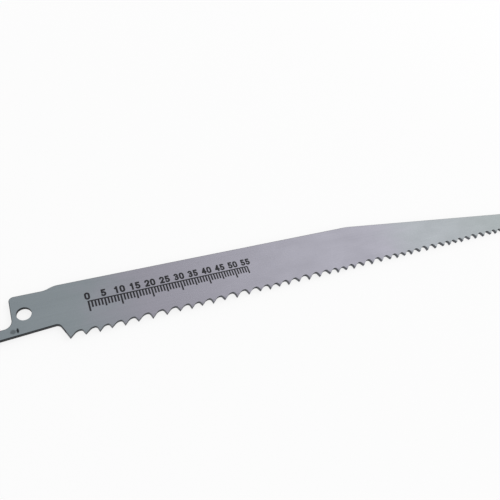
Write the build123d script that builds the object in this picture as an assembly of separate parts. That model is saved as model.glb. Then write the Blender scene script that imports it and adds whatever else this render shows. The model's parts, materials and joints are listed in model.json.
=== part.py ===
from build123d import *
import os
from math import atan, radians, sin, tan

# A reciprocating saw blade: one flat strip of steel, stamped and then toothed.
# Millimetres. X runs from the shank to the nose, Y from the teeth to the spine, and Z
# through the thickness. The origin is the centre of the pin hole, half way through.

# Strip
overall_length = 228.6        # end of the tang to the nose, before the nose is rounded
thickness = 1.27
spine_height = 7.40           # spine above the pin hole, the straight part of the back
tooth_line_depth = 10.95      # tooth tips below the pin hole

# Shank
pin_hole_diameter = 4.2
shank_above_pin = 6.35
shank_below_pin = 6.35
shank_underside_angle = 3.6   # the underside climbs towards the teeth
shoulder_from_pin = 3.5       # square end of the shank, behind the pin hole
shoulder_radius = 1.4
shank_top_end = 5.55          # where the top of the shank starts up to the spine
spine_ramp_run = 5.0          # length of that gentle S, two arcs with hardly a straight
spine_ramp_curved = 0.98      # the share of it that the two arcs take

# Tang: the narrow tail on the tooth side of the shank
tang_from_pin = 12.4
tang_top_depth = 3.62         # its upper edge below the pin hole
tang_notch_radius = 2.4
tang_end_radius = 0.9

# Heel: the step down from the shank to the first tooth
first_tooth_from_pin = 11.05
heel_angle = 67.0
heel_radius = 1.5

# Back and nose
bend_from_pin = 122.0         # where the back starts to slope down
back_end_depth = 3.17         # the back's line, run on to the nose, ends this far below the pin
bend_radius = 25.0
plunge_angle = 64.0           # slant of the front end
plunge_radius = 3.0
nose_radius = 0.35

# Stamping rounds the edge on the side that the punch meets; the teeth are cut later
die_roll = 0.25
same_line = 0.001             # an edge this near the blank's outline is part of it

# Teeth: six to the inch on average, their pitch changing over a group of seven
pitch_group = (4.43, 4.12, 3.60, 4.07, 4.13, 4.69, 4.59)
clearance_angle = 41.0        # slant of the long flank behind each tip
rake_lean = 21.0              # lean of the cutting face off the square
gullet_depth_share = 0.413    # of the pitch
flank_radius_share = 0.59     # of the pitch, where the flank runs into the gullet
throat_radius_share = 0.195   # of the pitch, below the cutting face
deepest_place_share = 0.70    # of the pitch, from one tip to the deepest place after it
gullet_run_out = 0.5          # how far the shape of a gullet runs on past the tips
last_flank_length = 1.4       # least room for the flank of the last tooth

# Set: in each group the first tooth is straight and the rest lean out by turns
set_offset = 0.30             # how far the tip of a set tooth leans out
set_bend_height = 1.10        # the bend lies this far above the tips

shank_underside_slope = tan(radians(shank_underside_angle))
tang_end_x = -tang_from_pin
nose_x = tang_end_x + overall_length
tooth_line_y = -tooth_line_depth


def shank_underside_y(x):
    """Height of the straight underside of the shank and tang."""
    return -shank_below_pin + shank_underside_slope * x


def heel_corner():
    """Where the underside of the shank meets the slanted face of the first tooth."""
    heel_slope = -tan(radians(heel_angle))
    height = tooth_line_y - heel_slope * first_tooth_from_pin + shank_below_pin
    x = height / (shank_underside_slope - heel_slope)
    return (x, shank_underside_y(x))


def tooth_tips():
    """X of each tooth tip, from the heel to the last that leaves room for its flank."""
    tips = [first_tooth_from_pin]
    while True:
        pitch = pitch_group[(len(tips) - 1) % len(pitch_group)]
        if tips[-1] + pitch > nose_x - last_flank_length:
            return tips
        tips.append(tips[-1] + pitch)


def back_corner(nose_y):
    """Where the slanted front end meets the sloping back."""
    back_slope = -(spine_height + back_end_depth) / (nose_x - bend_from_pin)
    front_slope = -tan(radians(plunge_angle))
    run = (-back_end_depth - nose_y) / (front_slope - back_slope)
    return (nose_x + run, nose_y + front_slope * run)


def blank_outline(tips):
    """The strip before the gullets are cut, with its corners rounded."""
    flank_rise = (nose_x - tips[-1]) * tan(radians(clearance_angle))
    nose_y = tooth_line_y + flank_rise
    ramp_angle = 2 * atan((spine_height - shank_above_pin) / spine_ramp_run)
    ramp_reach = spine_ramp_run * tan(ramp_angle / 2) / (2 * sin(ramp_angle))
    ramp_radius = spine_ramp_curved * ramp_reach / tan(ramp_angle / 2)
    ramp_end = shank_top_end + spine_ramp_run
    corners = [
        ((tang_end_x, shank_underside_y(tang_end_x)), tang_end_radius),
        (heel_corner(), heel_radius),
        ((tips[0], tooth_line_y), 0),
        ((tips[-1], tooth_line_y), 0),
        ((nose_x, nose_y), nose_radius),
        (back_corner(nose_y), plunge_radius),
        ((bend_from_pin, spine_height), bend_radius),
        ((ramp_end - ramp_reach, spine_height), ramp_radius),
        ((shank_top_end + ramp_reach, shank_above_pin), ramp_radius),
        ((-shoulder_from_pin, shank_above_pin), shoulder_radius),
        ((-shoulder_from_pin, -tang_top_depth), tang_notch_radius),
        ((tang_end_x, -tang_top_depth), tang_end_radius),
    ]
    outline = make_face(Polyline([point for point, radius in corners], close=True))
    for point, radius in corners:
        if radius:
            corner = outline.vertices().sort_by_distance(point)[0]
            outline = fillet(corner, radius)
    return outline


def gullet(tip_x, pitch):
    """The gap after one tooth: long flank, round throat, then the next cutting face."""
    depth = gullet_depth_share * pitch
    flank_end = depth / tan(radians(clearance_angle))
    throat_end = pitch - depth * tan(radians(rake_lean))
    shape = make_face(Polyline(
        (-gullet_run_out / tan(radians(clearance_angle)), -gullet_run_out),
        (flank_end, depth),
        (throat_end, depth),
        (pitch + gullet_run_out * tan(radians(rake_lean)), -gullet_run_out),
        close=True,
    ))
    shape = fillet(shape.vertices().sort_by_distance((flank_end, depth))[0],
                   flank_radius_share * pitch)
    shape = fillet(shape.vertices().sort_by_distance((throat_end, depth))[0],
                   throat_radius_share * pitch)
    return Pos(tip_x, tooth_line_y) * shape


def set_tooth(profile, left, right, side):
    """One tooth, leaning out to one side from the bend down."""
    width = right - left
    band = Pos((left + right) / 2, tooth_line_y) * Rectangle(width, 2 * set_bend_height)
    tooth = extrude(profile & band, amount=thickness, both=True)
    half = thickness / 2
    bend_y = tooth_line_y + set_bend_height
    lean = side * set_offset
    section = make_face(Polyline(
        (left, bend_y, -half),
        (left, bend_y, half),
        (left, tooth_line_y, half + lean),
        (left, tooth_line_y, lean - half),
        close=True,
    ))
    return tooth & extrude(section, amount=width, dir=(1, 0, 0)), band


def stamped_edges(body, blank):
    """Edges of the upper side that follow the blank's outline, all but the tooth line."""
    outline = Pos(0, 0, thickness / 2) * blank.face().outer_wire()
    stamped = []
    for edge in body.faces().sort_by(Axis.Z)[-1].outer_wire().edges():
        middle = edge @ 0.5
        on_outline = outline.distance_to(middle) < same_line
        if on_outline and middle.Y > tooth_line_y + same_line:
            stamped.append(edge)
    return stamped


def saw_blade():
    """The whole blade as one solid."""
    tips = tooth_tips()
    blank = blank_outline(tips)
    outline = blank
    pitches = [after - before for before, after in zip(tips, tips[1:])]
    outline -= [gullet(tip, pitch) for tip, pitch in zip(tips, pitches)]
    outline -= Circle(pin_hole_diameter / 2)
    throats = [tip + deepest_place_share * pitch for tip, pitch in zip(tips, pitches)]
    teeth = []
    bands = []
    for number in range(1, len(tips) - 1):
        place = number % len(pitch_group)
        if place == 0:
            continue
        side = 1 if place % 2 else -1
        tooth, band = set_tooth(outline, throats[number - 1], throats[number], side)
        teeth.append(tooth)
        bands.append(band)
    body = extrude(outline - bands, amount=thickness / 2, both=True)
    body = fillet(stamped_edges(body, blank), die_roll)
    return body.fuse(*teeth).clean()


os.makedirs("parts", exist_ok=True)
blade = saw_blade()
blade.label = "saw_blade"
export_step(blade, "parts/saw_blade.step")
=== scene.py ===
import json
import math
import bpy
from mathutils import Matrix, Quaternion, Vector


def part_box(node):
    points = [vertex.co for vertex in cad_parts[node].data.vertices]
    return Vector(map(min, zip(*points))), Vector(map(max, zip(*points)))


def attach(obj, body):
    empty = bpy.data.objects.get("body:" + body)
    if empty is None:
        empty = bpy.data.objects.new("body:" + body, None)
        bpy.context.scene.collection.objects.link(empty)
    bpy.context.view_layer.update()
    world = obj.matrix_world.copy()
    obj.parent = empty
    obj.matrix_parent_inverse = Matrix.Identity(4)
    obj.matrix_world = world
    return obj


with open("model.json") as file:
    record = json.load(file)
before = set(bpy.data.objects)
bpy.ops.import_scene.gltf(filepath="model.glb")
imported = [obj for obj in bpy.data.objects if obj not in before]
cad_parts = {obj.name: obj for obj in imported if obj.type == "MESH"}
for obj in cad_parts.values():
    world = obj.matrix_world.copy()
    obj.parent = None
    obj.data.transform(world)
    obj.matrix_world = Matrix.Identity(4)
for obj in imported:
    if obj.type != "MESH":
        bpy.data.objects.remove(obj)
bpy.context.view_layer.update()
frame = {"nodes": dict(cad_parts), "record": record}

mm = 0.001
bladeLow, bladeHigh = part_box("saw_blade")
pinHole = next(mount for mount in frame["record"]["mounts"] if mount["name"] == "pin_hole")
steelHalf = pinHole["dims"]["length_mm"] / 2 * mm    # half the strip's thickness


# Small helpers for node trees

def addNode(tree, kind, place, **settings):
    node = tree.nodes.new(kind)
    node.location = place
    for name, value in settings.items():
        setattr(node, name, value)
    return node


def feed(tree, sockets, values):
    # each value is the output of another node, a number, three numbers or a colour
    for socket, value in zip(sockets, values):
        if isinstance(value, bpy.types.NodeSocket):
            tree.links.new(value, socket)
        elif value is not None:
            socket.default_value = (*value, 1.0) if socket.type == "RGBA" else value


def mathNode(tree, operation, place, first, second=None, third=None):
    node = addNode(tree, "ShaderNodeMath", place, operation=operation)
    feed(tree, node.inputs, (first, second, third))
    return node.outputs[0]


def vectorNode(tree, operation, place, first, second=None):
    node = addNode(tree, "ShaderNodeVectorMath", place, operation=operation)
    feed(tree, node.inputs, (first, second))
    return node.outputs["Value" if operation in ("LENGTH", "DISTANCE") else "Vector"]


def splitNode(tree, place, vector):
    node = addNode(tree, "ShaderNodeSeparateXYZ", place)
    feed(tree, node.inputs, (vector,))
    return node.outputs


def mapRange(tree, place, value, fromRange, toRange=(0.0, 1.0), smooth=True):
    node = addNode(tree, "ShaderNodeMapRange", place)
    node.interpolation_type = "SMOOTHSTEP" if smooth else "LINEAR"
    feed(tree, node.inputs, (value, *fromRange, *toRange))
    return node.outputs["Result"]


def mixColour(tree, place, factor, first, second, blend="MIX"):
    node = addNode(tree, "ShaderNodeMix", place, data_type="RGBA", blend_type=blend)
    feed(tree, (node.inputs[0], node.inputs[6], node.inputs[7]), (factor, first, second))
    return node.outputs[2]


def mixValue(tree, place, factor, first, second):
    node = addNode(tree, "ShaderNodeMix", place, data_type="FLOAT")
    feed(tree, (node.inputs[0], node.inputs[2], node.inputs[3]), (factor, first, second))
    return node.outputs[0]


def mixShaders(tree, place, factor, first, second):
    node = addNode(tree, "ShaderNodeMixShader", place)
    feed(tree, node.inputs, (factor, first, second))
    return node.outputs[0]


def noiseAt(tree, place, position, scale, detail=2.0, roughness=0.5):
    # the scale is per metre; three of them stretch the noise along, across and through the blade
    if isinstance(scale, tuple):
        position = vectorNode(tree, "MULTIPLY", (place[0] - 200, place[1]), position, scale)
        scale = 1.0
    node = addNode(tree, "ShaderNodeTexNoise", place)
    names = ("Vector", "Scale", "Detail", "Roughness")
    feed(tree, [node.inputs[name] for name in names], (position, scale, detail, roughness))
    return node.outputs["Fac"]


def greyOf(tree, place, value):
    node = addNode(tree, "ShaderNodeCombineColor", place)
    feed(tree, node.inputs, (value, value, value))
    return node.outputs[0]


def bumpNode(tree, place, height, strength, depth):
    node = addNode(tree, "ShaderNodeBump", place)
    names = ("Height", "Strength", "Distance")
    feed(tree, [node.inputs[name] for name in names], (height, strength, depth * mm))
    return node.outputs[0]


def newMaterial(name, place):
    material = bpy.data.materials.new(name)
    material.use_nodes = True
    tree = material.node_tree
    tree.nodes.clear()
    output = addNode(tree, "ShaderNodeOutputMaterial", place)
    return material, tree, output.inputs["Surface"]


def addPrincipled(tree, place, surface):
    shader = addNode(tree, "ShaderNodeBsdfPrincipled", place)
    tree.links.new(shader.outputs[0], surface)
    return shader


def newGroup(name, inputs, outputs):
    group = bpy.data.node_groups.new(name, "ShaderNodeTree")
    for socketName, kind, value in inputs:
        socket = group.interface.new_socket(socketName, in_out="INPUT", socket_type=kind)
        if value is not None:
            socket.default_value = value
    for socketName, kind in outputs:
        group.interface.new_socket(socketName, in_out="OUTPUT", socket_type=kind)
    start = addNode(group, "NodeGroupInput", (-1200, 0))
    end = addNode(group, "NodeGroupOutput", (600, 0))
    return group, start, end


def placeGroup(tree, group, place, position, values):
    node = addNode(tree, "ShaderNodeGroup", place)
    node.node_tree = group
    tree.links.new(position, node.inputs["Position"])
    for name, value in values.items():
        node.inputs[name].default_value = value
    return node


def makeObject(name, vertices, faces, material):
    mesh = bpy.data.meshes.new(name)
    mesh.from_pydata(vertices, [], faces)
    mesh.materials.append(material)
    made = bpy.data.objects.new(name, mesh)
    bpy.context.scene.collection.objects.link(made)
    return made


# Effects that both the steel and the print use

rollingGrain = {
    "fineLines": {"scale": (60, 5200, 5200), "detail": 3.0, "roughness": 0.6},
    "broadLines": {"scale": (14, 900, 900)},
    "fineShare": 0.75, "broadShare": 0.25,
    "speckle": {"scale": 9000.0, "roughness": 0.65},
}


def makeRollingGrain():
    # fine lines that run along the strip, and a tight speckle from blasting
    look = rollingGrain
    group, start, end = newGroup(
        "rollingGrain",
        [("Position", "NodeSocketVector", None),
         ("Line Strength", "NodeSocketFloat", 1.0),
         ("Speckle Strength", "NodeSocketFloat", 1.0)],
        [("Shade", "NodeSocketFloat"), ("Height", "NodeSocketFloat")])
    position, lineStrength, speckleStrength = start.outputs[:3]
    fineLines = noiseAt(group, (-700, 200), position, **look["fineLines"])
    broadLines = noiseAt(group, (-700, 0), position, **look["broadLines"])
    speckle = noiseAt(group, (-700, -200), position, **look["speckle"])
    finePart = mathNode(group, "MULTIPLY", (-550, 160), fineLines, look["fineShare"])
    broadPart = mathNode(group, "MULTIPLY", (-550, 40), broadLines, look["broadShare"])
    lines = mathNode(group, "ADD", (-450, 100), finePart, broadPart)
    centredLines = mathNode(group, "SUBTRACT", (-300, 100), lines, 0.5)
    centredSpeckle = mathNode(group, "SUBTRACT", (-300, -200), speckle, 0.5)
    linePart = mathNode(group, "MULTIPLY", (-100, 100), centredLines, lineStrength)
    specklePart = mathNode(group, "MULTIPLY", (-100, -200), centredSpeckle, speckleStrength)
    total = mathNode(group, "ADD", (100, 0), linePart, specklePart)
    group.links.new(total, end.inputs["Shade"])
    group.links.new(total, end.inputs["Height"])
    return group


oilFilm = {
    "patches": {"scale": (70, 160, 160), "detail": 3.0, "roughness": 0.55},
}


def makeOilFilm():
    # broad soft patches where the rust oil has dried
    group, start, end = newGroup(
        "oilFilm",
        [("Position", "NodeSocketVector", None)],
        [("Patch", "NodeSocketFloat")])
    patch = noiseAt(group, (-700, 0), start.outputs["Position"], **oilFilm["patches"])
    group.links.new(mathNode(group, "SUBTRACT", (-300, 0), patch, 0.5), end.inputs["Patch"])
    return group


# Steel of the blade: blasted flat sides, cut edges, worn corners and two dark spots; lengths in mm

steelLook = {
    "side": {
        "colour": (0.232, 0.240, 0.262),
        "lineStrength": 0.42, "speckleStrength": 0.70,
        "grainShade": 0.55, "filmShade": 0.10,   # how far grain and oil change the colour
        "roughness": 0.44, "grainRoughness": 0.10, "filmRoughness": 0.22,
        # dried oil along the blade: how far from the pin hole, and tint
        "filmTints": ((-12, (0.91, 1.01, 1.00)), (10, (0.96, 1.05, 1.03)), (38, (1.13, 1.07, 1.13)),
                      (128, (1.05, 1.00, 1.05)), (155, (1.05, 1.08, 1.05)), (214, (0.95, 1.01, 0.94))),
        "tintWobble": 0.10,                      # how uneven the borders between the tints are
    },
    "edges": {
        "stamped": (0.010, 0.011, 0.013),        # where the punch broke through, the darkest of the edges
        "sheared": (0.027, 0.029, 0.033),        # the smoother band under the roll
        "milled": (0.054, 0.057, 0.063),         # gullets
        "paintedLitFace": (0.125, 0.131, 0.143),         # cutting faces, towards the shank, painted lighter than the gullets: painted light
        "roughness": 0.50, "shearedRoughness": 0.36,
        # the sheared band starts this far above the middle of the thickness, its border soft and uneven
        "shearedFrom": 0.10, "shearedSoft": 0.05, "shearedWobble": 0.5,
        "wobbleNoise": {"scale": (700, 700, 60), "detail": 3.0, "roughness": 0.6},
        "milledY": (-8.9, -8.6),                 # milled below the first, stamped above the second
        "paintedLitFacing": (-0.80, -0.25),          # the way a face looks in x, painted lighter below the first
        # how level a face starts to be a flat side, and how level it is one
        "stampedLevel": (0.94, 0.99),            # the dark of the stamped edges reaches up their roll
        "milledLevel": (0.87, 0.96),             # a tooth that leans out is still a flat side
        # lines across the thickness, left by the punch and the cutter
        "lines": {"scale": (5200, 5200, 350), "roughness": 0.6},
        "lineRange": (0.25, 0.75), "lineShade": (0.75, 1.3),
    },
    "wear": {
        "colour": (0.20, 0.21, 0.22), "roughness": 0.30,
        "stamped": 0.15, "milled": 0.70,         # how much of it shows on each kind of edge
        "rising": (0.30, 0.60), "falling": (0.85, 0.65),     # how level a worn corner is
        "noise": {"scale": 700.0, "roughness": 0.6}, "patches": (0.45, 0.70),
    },
    # two dark spots by the shank, only a darker colour
    "darkSpots": {
        "colour": (0.022, 0.024, 0.028),
        # x, y, half width, half height, and how dark
        "spots": ((-3.55, -5.05, 0.68, 0.66, 0.50), (-2.30, -4.95, 0.30, 0.72, 1.00)),
        "halfDepth": 0.5,                        # the other side has no spots
        "noise": {"scale": 1800.0, "roughness": 0.6}, "ragged": 0.9,
        "fade": (1.5, 0.7),                      # in half widths, from the outside in
    },
    "bump": {"strength": 0.6, "depth": 0.02},
    "corners": {
        "width": 0.05, "segments": 2,            # the small round along every edge
        "sharpFrom": 35, "sameFace": 0.3,        # degrees
        "weld": 0.005,
    },
}


def tintAlong(tree, place, position, wobble):
    # a soft change of tint along the blade
    look = steelLook["side"]
    tints = look["filmTints"]
    first, last = tints[0][0], tints[-1][0]
    x, y = place
    places = splitNode(tree, place, position)
    along = mapRange(tree, (x + 150, y), places["X"], (first * mm, last * mm), smooth=False)
    uneven = mathNode(tree, "MULTIPLY_ADD", (x + 300, y), wobble, look["tintWobble"], along)
    ramp = addNode(tree, "ShaderNodeValToRGB", (x + 450, y))
    ramp.color_ramp.interpolation = "EASE"
    while len(ramp.color_ramp.elements) < len(tints):
        ramp.color_ramp.elements.new(0.5)
    for element, (distance, colour) in zip(ramp.color_ramp.elements, tints):
        element.position = (distance - first) / (last - first)
        element.color = (*colour, 1.0)
    tree.links.new(uneven, ramp.inputs["Fac"])
    return ramp.outputs["Color"]


def sideColour(tree, position, grainShade, filmPatch):
    look = steelLook["side"]
    shade = mathNode(tree, "MULTIPLY_ADD", (-650, 200), grainShade, look["grainShade"], 1.0)
    patchShade = mathNode(tree, "MULTIPLY_ADD", (-650, 50), filmPatch, look["filmShade"], 1.0)
    bothShades = mathNode(tree, "MULTIPLY", (-450, 150), shade, patchShade)
    tint = tintAlong(tree, (-1100, 500), position, filmPatch)
    tinted = mixColour(tree, (-450, 350), 1.0, look["colour"], tint, "MULTIPLY")
    return mixColour(tree, (-200, 250), 1.0, tinted, greyOf(tree, (-300, 150), bothShades), "MULTIPLY")


def faceMasks(tree, position, normal):
    # what kind of face this is, by the way that it faces and where it lies
    edges, wear = steelLook["edges"], steelLook["wear"]
    facing = splitNode(tree, (-1300, -400), normal)
    places = splitNode(tree, (-1300, -1000), position)
    level = mathNode(tree, "ABSOLUTE", (-1100, -400), facing["Z"])
    milled = mapRange(tree, (-1100, -1000), places["Y"], [y * mm for y in edges["milledY"]], (1.0, 0.0))
    # faces that look towards the shank are marked for painted light
    paintedLitFace = mapRange(tree, (-1100, -1150), facing["X"], edges["paintedLitFacing"], (1.0, 0.0))

    wobble, soft = edges["shearedWobble"], edges["shearedSoft"]
    middle = edges["shearedFrom"] - wobble / 2
    noise = noiseAt(tree, (-1300, -1400), position, **edges["wobbleNoise"])
    lowered = mathNode(tree, "MULTIPLY_ADD", (-1100, -1300), noise, -wobble * mm, places["Z"])
    sheared = mapRange(tree, (-900, -1300), lowered, ((middle - soft) * mm, (middle + soft) * mm))

    flat = mixValue(tree, (-700, -350), milled,
                    mapRange(tree, (-900, -250), level, edges["stampedLevel"]),
                    mapRange(tree, (-900, -400), level, edges["milledLevel"]))

    rising = mapRange(tree, (-900, -550), level, wear["rising"])
    falling = mapRange(tree, (-900, -700), level, wear["falling"])
    anyCorner = mathNode(tree, "MULTIPLY", (-700, -600), rising, falling)
    patchy = mapRange(tree, (-900, -850), noiseAt(tree, (-1100, -700), position, **wear["noise"]),
                      wear["patches"])
    worn = mathNode(tree, "MULTIPLY", (-550, -600), anyCorner, patchy)
    showing = mixValue(tree, (-700, -800), milled, wear["stamped"], wear["milled"])
    corner = mathNode(tree, "MULTIPLY", (-400, -600), worn, showing)
    return {"flat": flat, "corner": corner, "milled": milled, "paintedLitFace": paintedLitFace, "sheared": sheared}


def edgeColour(tree, masks, lines):
    look = steelLook["edges"]
    # the cutting faces get a lighter colour than the gullets: painted light
    toothEdge = mixColour(tree, (-500, -1200), masks["paintedLitFace"], look["milled"], look["paintedLitFace"])
    stampedEdge = mixColour(tree, (-500, -1350), masks["sheared"], look["stamped"], look["sheared"])
    base = mixColour(tree, (-300, -1000), masks["milled"], stampedEdge, toothEdge)
    shade = mapRange(tree, (-300, -800), lines, look["lineRange"], look["lineShade"], smooth=False)
    return mixColour(tree, (0, -500), 1.0, base, greyOf(tree, (-150, -700), shade), "MULTIPLY")


# darkens the steel at the two spots by the shank
def stainedColour(tree, position, colour):
    look = steelLook["darkSpots"]
    noise = noiseAt(tree, (-900, -1600), position, **look["noise"])
    ragged = mathNode(tree, "MULTIPLY_ADD", (-700, -1600), noise, look["ragged"], -look["ragged"] / 2)
    for number, (x, y, halfWidth, halfHeight, dark) in enumerate(look["spots"]):
        row = -1800 - 200 * number
        halves = (halfWidth * mm, halfHeight * mm, look["halfDepth"] * mm)
        away = vectorNode(tree, "SUBTRACT", (-700, row), position, (x * mm, y * mm, steelHalf))
        inHalves = vectorNode(tree, "MULTIPLY", (-550, row), away, [1 / half for half in halves])
        reach = vectorNode(tree, "LENGTH", (-400, row), inHalves)
        unevenReach = mathNode(tree, "ADD", (-250, row), reach, ragged)
        spot = mapRange(tree, (-100, row), unevenReach, look["fade"])
        amount = mathNode(tree, "MULTIPLY", (100, row), spot, dark)
        colour = mixColour(tree, (600 + 150 * number, -100), amount, colour, look["colour"])
    return colour


def steelRoughness(tree, masks, grainShade, filmPatch):
    side, edges = steelLook["side"], steelLook["edges"]
    patchRough = mathNode(tree, "MULTIPLY_ADD", (200, -500), filmPatch,
                          side["filmRoughness"], side["roughness"])
    sideRough = mathNode(tree, "MULTIPLY_ADD", (350, -500), grainShade,
                         side["grainRoughness"], patchRough)
    stampedRough = mixValue(tree, (200, -650), masks["sheared"],
                            edges["roughness"], edges["shearedRoughness"])
    edgeRough = mixValue(tree, (350, -650), masks["milled"], stampedRough, edges["roughness"])
    cleanRough = mixValue(tree, (500, -450), masks["flat"], edgeRough, sideRough)
    return mixValue(tree, (700, -450), masks["corner"], cleanRough, steelLook["wear"]["roughness"])


def makeSteel(grain, film):
    look = steelLook
    material, tree, surface = newMaterial("satinBladeSteel", (1500, 0))
    shader = addPrincipled(tree, (1200, 0), surface)
    coordinates = addNode(tree, "ShaderNodeTexCoord", (-1600, 0))
    position = coordinates.outputs["Object"]
    grainNode = placeGroup(tree, grain, (-900, 200), position,
                           {"Line Strength": look["side"]["lineStrength"],
                            "Speckle Strength": look["side"]["speckleStrength"]})
    filmNode = placeGroup(tree, film, (-900, 0), position, {})
    grainShade, filmPatch = grainNode.outputs["Shade"], filmNode.outputs["Patch"]
    masks = faceMasks(tree, position, coordinates.outputs["Normal"])
    lines = noiseAt(tree, (-500, -800), position, **look["edges"]["lines"])

    clean = mixColour(tree, (200, 0), masks["flat"], edgeColour(tree, masks, lines),
                      sideColour(tree, position, grainShade, filmPatch))
    rubbed = mixColour(tree, (400, 0), masks["corner"], clean, look["wear"]["colour"])
    tree.links.new(stainedColour(tree, position, rubbed), shader.inputs["Base Color"])
    tree.links.new(steelRoughness(tree, masks, grainShade, filmPatch), shader.inputs["Roughness"])
    shader.inputs["Metallic"].default_value = 1.0

    sideHeight = mathNode(tree, "MULTIPLY", (500, -700), grainNode.outputs["Height"], masks["flat"])
    notFlat = mathNode(tree, "SUBTRACT", (350, -850), 1.0, masks["flat"])
    edgeHeight = mathNode(tree, "MULTIPLY", (500, -850), lines, notFlat)
    height = mathNode(tree, "ADD", (700, -750), sideHeight, edgeHeight)
    tree.links.new(bumpNode(tree, (900, -600), height, **look["bump"]), shader.inputs["Normal"])
    return material


def softenCorners(blade):
    # join up the tessellated solid, make its flat faces whole, then give each edge a small round
    look = steelLook["corners"]
    weld = blade.modifiers.new("weld", "WELD")
    weld.merge_threshold = look["weld"] * mm
    whole = blade.modifiers.new("wholeFaces", "DECIMATE")
    whole.decimate_type = "DISSOLVE"
    whole.angle_limit = math.radians(look["sameFace"])
    bevel = blade.modifiers.new("softCorners", "BEVEL")
    bevel.width = look["width"] * mm
    bevel.segments = look["segments"]
    bevel.limit_method = "ANGLE"
    bevel.angle_limit = math.radians(look["sharpFrom"])
    bevel.use_clamp_overlap = False
    bevel.harden_normals = True


# Print on the side: a plain scale with a long rule, ticks under it and numbers over it; lengths in mm

printLook = {
    "ink": {
        "thick": (0.006, 0.006, 0.009),
        "thin": (0.024, 0.025, 0.031),           # where the grain shows through
        "thinning": (0.0, 0.5),                  # of the grain's shade, from thick to thin
        "roughness": 0.55, "grainRoughness": 0.15, "filmRoughness": 0.2,
        "specular": 0.3,
        "bump": {"strength": 0.4, "depth": 0.01},
    },
    "inkDepth": 0.012, "inkSunk": 0.004,         # above the steel, and in it
    "inkStep": 0.003,                            # from one layer to the next
    "left": 18.0, "right": 73.46,                # from the pin hole
    "ruleY": -0.55, "ruleWidth": 0.40,
    "tickStep": 1.0, "tickWidth": 0.54,
    "tickLengths": ((10, 3.2), (5, 2.5), (1, 2.0)),      # every tenth, every fifth, every one
    "numberStep": 5, "numberGap": 0.40,
    "digitHeight": 1.95, "digitStroke": 0.60,
    "digitWidth": 0.56, "digitAdvance": 0.96,    # in shares of the height
    "arcStep": 15, "fewestSteps": 4,             # degrees to a step of an arc, and its fewest steps
    "samePoint": 0.001,                          # points nearer to each other than this are one
}

# strokes of each digit in shares of its height: points, or arcs as centre, radius and two angles
digitStrokes = {
    "0": (((0.28, 0.72, 0.28, 0, 180), (0.28, 0.28, 0.28, 180, 360), (0.56, 0.72)),),
    "1": (((0.34, 0.0), (0.34, 1.0)), ((0.12, 0.80), (0.26, 0.90))),
    "2": (((0.28, 0.72, 0.28, 160, -40), (0.09, 0.06)), ((0.02, 0.0), (0.54, 0.0))),
    "3": (((0.26, 0.755, 0.245, 145, -90),), ((0.26, 0.265, 0.265, 90, -145),)),
    "4": (((0.42, 0.0), (0.42, 1.0)), ((0.36, 0.94), (0.06, 0.38)), ((0.02, 0.28), (0.56, 0.28))),
    "5": (((0.10, 1.0), (0.50, 1.0)), ((0.08, 0.98), (0.06, 0.58)), ((0.26, 0.30, 0.29, 122, -145),)),
}


def makeInk(grain, film):
    look = printLook["ink"]
    material, tree, surface = newMaterial("printInk", (900, 0))
    shader = addPrincipled(tree, (600, 0), surface)
    position = addNode(tree, "ShaderNodeTexCoord", (-900, 0)).outputs["Object"]
    grainNode = placeGroup(tree, grain, (-600, 0), position, {})
    filmNode = placeGroup(tree, film, (-600, -250), position, {})
    grainShade, filmPatch = grainNode.outputs["Shade"], filmNode.outputs["Patch"]
    thin = mapRange(tree, (-300, 0), grainShade, look["thinning"])
    colour = mixColour(tree, (0, 0), thin, look["thick"], look["thin"])
    grainRough = mathNode(tree, "MULTIPLY_ADD", (-300, -200), grainShade,
                          look["grainRoughness"], look["roughness"])
    roughness = mathNode(tree, "MULTIPLY_ADD", (-100, -200), filmPatch,
                         look["filmRoughness"], grainRough)
    bump = bumpNode(tree, (300, -300), grainNode.outputs["Height"], **look["bump"])
    tree.links.new(colour, shader.inputs["Base Color"])
    tree.links.new(roughness, shader.inputs["Roughness"])
    tree.links.new(bump, shader.inputs["Normal"])
    shader.inputs["Specular IOR Level"].default_value = look["specular"]
    return material


def addStroke(vertices, faces, points, width, layer=0):
    # a flat band of ink along the points, from just inside the steel to just above it
    # strokes that cross lie in layers of their own, so that no two faces share a plane
    closed = (points[0] - points[-1]).length < printLook["samePoint"]
    if closed:
        points = points[:-1]
    else:
        start, end = (points[0] - points[1]).normalized(), (points[-1] - points[-2]).normalized()
        points = [points[0] + start * width / 2] + points[1:-1] + [points[-1] + end * width / 2]
    count, first = len(points), len(vertices)
    low = steelHalf - printLook["inkSunk"] * mm
    high = steelHalf + (printLook["inkDepth"] + layer * printLook["inkStep"]) * mm
    for number, point in enumerate(points):
        before = points[number - 1] if number or closed else point
        after = points[(number + 1) % count] if number < count - 1 or closed else point
        along = ((point - before).normalized() + (after - point).normalized()).normalized()
        aside = Vector((-along.y, along.x)) * width / 2
        right, left = point - aside, point + aside
        for corner, z in ((right, low), (left, low), (left, high), (right, high)):
            vertices.append((corner.x * mm, corner.y * mm, z))
    # four sides from each point's corners to the next point's
    for number in range(count if closed else count - 1):
        near, far = first + 4 * number, first + 4 * ((number + 1) % count)
        for side in range(4):
            other = (side + 1) % 4
            faces.append((near + side, near + other, far + other, far + side))
    if not closed:
        last = first + 4 * (count - 1)
        faces.append((first + 3, first + 2, first + 1, first))
        faces.append((last, last + 1, last + 2, last + 3))


def strokePoints(parts, corner, height):
    points = []
    for part in parts:
        if len(part) == 2:
            points.append(Vector(part))
            continue
        x, y, radius, start, end = part
        steps = max(printLook["fewestSteps"], round(abs(end - start) / printLook["arcStep"]))
        for step in range(steps + 1):
            angle = math.radians(start + (end - start) * step / steps)
            points.append(Vector((x + radius * math.cos(angle), y + radius * math.sin(angle))))
    kept = points[:1]
    for before, point in zip(points, points[1:]):
        if (point - before).length > printLook["samePoint"]:
            kept.append(point)
    return [corner + point * height for point in kept]


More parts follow.
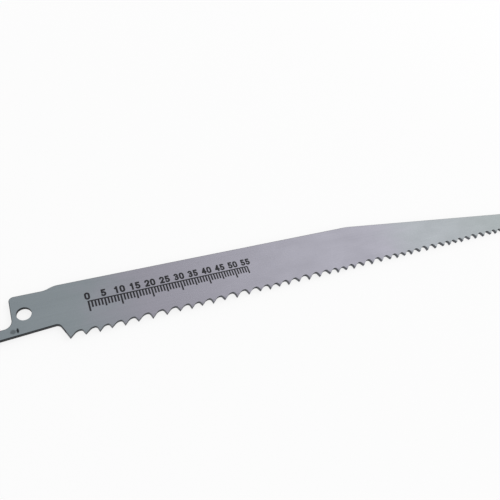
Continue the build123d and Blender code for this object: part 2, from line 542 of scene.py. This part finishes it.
def printPiece(name, vertices, faces, ink):
    piece = makeObject(name, vertices, faces, ink)
    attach(piece, "root")
    return piece


def tickPlaces():
    look = printLook
    steps = int((look["right"] - look["left"]) / look["tickStep"])
    start = look["left"] + look["tickWidth"] / 2
    return [start + number * look["tickStep"] for number in range(steps + 1)]


def makeScaleMarks(ink):
    look = printLook
    vertices, faces = [], []
    half = look["ruleWidth"] / 2
    rule = [Vector((look["left"] + half, look["ruleY"])), Vector((look["right"] - half, look["ruleY"]))]
    addStroke(vertices, faces, rule, look["ruleWidth"], 1)
    half = look["tickWidth"] / 2
    top = look["ruleY"] - half
    for number, x in enumerate(tickPlaces()):
        length = next(length for every, length in look["tickLengths"] if number % every == 0)
        tick = [Vector((x, top)), Vector((x, top - length + half))]
        addStroke(vertices, faces, tick, look["tickWidth"])
    return printPiece("scale_marks", vertices, faces, ink)


def makeScaleNumbers(ink):
    look = printLook
    vertices, faces = [], []
    height, stroke = look["digitHeight"], look["digitStroke"]
    bottom = look["ruleY"] + look["ruleWidth"] / 2 + look["numberGap"] + stroke / 2
    for number, x in enumerate(tickPlaces()):
        if number % look["numberStep"]:
            continue
        digits = str(number)
        width = (look["digitWidth"] + look["digitAdvance"] * (len(digits) - 1)) * height
        for place, digit in enumerate(digits):
            corner = Vector((x - width / 2 + place * look["digitAdvance"] * height, bottom))
            for layer, parts in enumerate(digitStrokes[digit]):
                addStroke(vertices, faces, strokePoints(parts, corner, height), stroke, layer)
    return printPiece("scale_numbers", vertices, faces, ink)


# Floor, light and camera

studio = {
    "white": (1.0, 1.0, 1.0),
    "floorSize": 8.0,                            # metres
    "floorColour": (0.88, 0.88, 0.88),
    "floorGlow": 0.80,                           # how far the floor near the blade goes to plain white
    "whiteRange": (0.12, 0.45),                  # metres from the blade's middle, plain white beyond
    "skyStrength": 0.85,
    "lamps": {
        # name: place in metres, aim, size, watts
        "window": ((0.91, 0.36, 0.70), (0.12, 0.0, 0.0), 1.0, 3.8),
    },
}


def seenRays(tree, place):
    # rays for which floor and sky are plain white: the camera's, and those that metal or glass sends on
    x, y = place
    rays = addNode(tree, "ShaderNodeLightPath", place).outputs
    seen = mathNode(tree, "MAXIMUM", (x + 200, y), rays["Is Camera Ray"], rays["Is Glossy Ray"])
    return mathNode(tree, "MAXIMUM", (x + 350, y), seen, rays["Is Transmission Ray"])


def makeFloor():
    material, tree, surface = newMaterial("paleFloor", (600, 0))
    matt = addNode(tree, "ShaderNodeBsdfDiffuse", (0, 100))
    feed(tree, matt.inputs, (studio["floorColour"],))
    glow = addNode(tree, "ShaderNodeEmission", (0, -100))
    feed(tree, glow.inputs, (studio["white"], 1.0))
    position = addNode(tree, "ShaderNodeTexCoord", (-800, -100)).outputs["Object"]
    away = vectorNode(tree, "DISTANCE", (-600, -100), position, (bladeLow + bladeHigh) / 2)
    whiter = mapRange(tree, (-400, -100), away, studio["whiteRange"], (studio["floorGlow"], 1.0))
    share = mathNode(tree, "MULTIPLY", (-100, 250), seenRays(tree, (-600, 200)), whiter)
    tree.links.new(mixShaders(tree, (300, 0), share, matt.outputs[0], glow.outputs[0]), surface)
    half, z = studio["floorSize"] / 2, bladeLow.z
    corners = [(-half, -half, z), (half, -half, z), (half, half, z), (-half, half, z)]
    floor = makeObject("floor", corners, [(0, 1, 2, 3)], material)
    return floor


def makeSky():
    world = bpy.data.worlds.new("studioSky")
    bpy.context.scene.world = world
    world.use_nodes = True
    tree = world.node_tree
    tree.nodes.clear()
    output = addNode(tree, "ShaderNodeOutputWorld", (400, 0))
    lit = addNode(tree, "ShaderNodeBackground", (0, 100))
    feed(tree, lit.inputs, (studio["white"], studio["skyStrength"]))
    plain = addNode(tree, "ShaderNodeBackground", (0, -100))
    feed(tree, plain.inputs, (studio["white"], 1.0))
    sky = mixShaders(tree, (200, 0), seenRays(tree, (-600, 200)), lit.outputs[0], plain.outputs[0])
    tree.links.new(sky, output.inputs["Surface"])


def makeLamps():
    for name, (place, aim, size, watts) in studio["lamps"].items():
        light = bpy.data.lights.new(name, "AREA")
        light.shape = "SQUARE"
        light.size = size
        light.energy = watts
        lamp = bpy.data.objects.new(name, light)
        lamp.location = place
        lamp.rotation_mode = "QUATERNION"
        lamp.rotation_quaternion = (Vector(aim) - Vector(place)).to_track_quat("-Z", "Y")
        bpy.context.scene.collection.objects.link(lamp)


photoCamera = {
    "place": (6.77, -69.40, 137.60),             # mm from the pin hole
    "aim": (77.48, 6.15, 0.0),
    "turn": 25.26,                               # degrees, the picture is tilted
    "lens": 33.44, "sensor": 36.0,
    "near": 0.005, "far": 20.0,                  # metres
}


def makeCamera():
    look = photoCamera
    data = bpy.data.cameras.new("photoCamera")
    data.lens = look["lens"]
    data.sensor_width = look["sensor"]
    data.clip_start = look["near"]
    data.clip_end = look["far"]
    camera = bpy.data.objects.new("photoCamera", data)
    place, aim = Vector(look["place"]) * mm, Vector(look["aim"]) * mm
    camera.location = place
    camera.rotation_mode = "QUATERNION"
    level = (aim - place).to_track_quat("-Z", "Y")
    camera.rotation_quaternion = level @ Quaternion((0, 0, 1), math.radians(look["turn"]))
    bpy.context.scene.collection.objects.link(camera)
    bpy.context.scene.camera = camera


makeCamera()
print("camera in place")
grainGroup = makeRollingGrain()
filmGroup = makeOilFilm()
steel = makeSteel(grainGroup, filmGroup)
blade = frame["nodes"]["saw_blade"]
for slot in blade.material_slots:
    slot.material = steel
softenCorners(blade)
print("steel on the blade")
ink = makeInk(grainGroup, filmGroup)
makeScaleMarks(ink)
makeScaleNumbers(ink)
print("print on the side")
makeFloor()
makeSky()
makeLamps()
bpy.context.scene.view_settings.view_transform = "Standard"
print("studio set up")
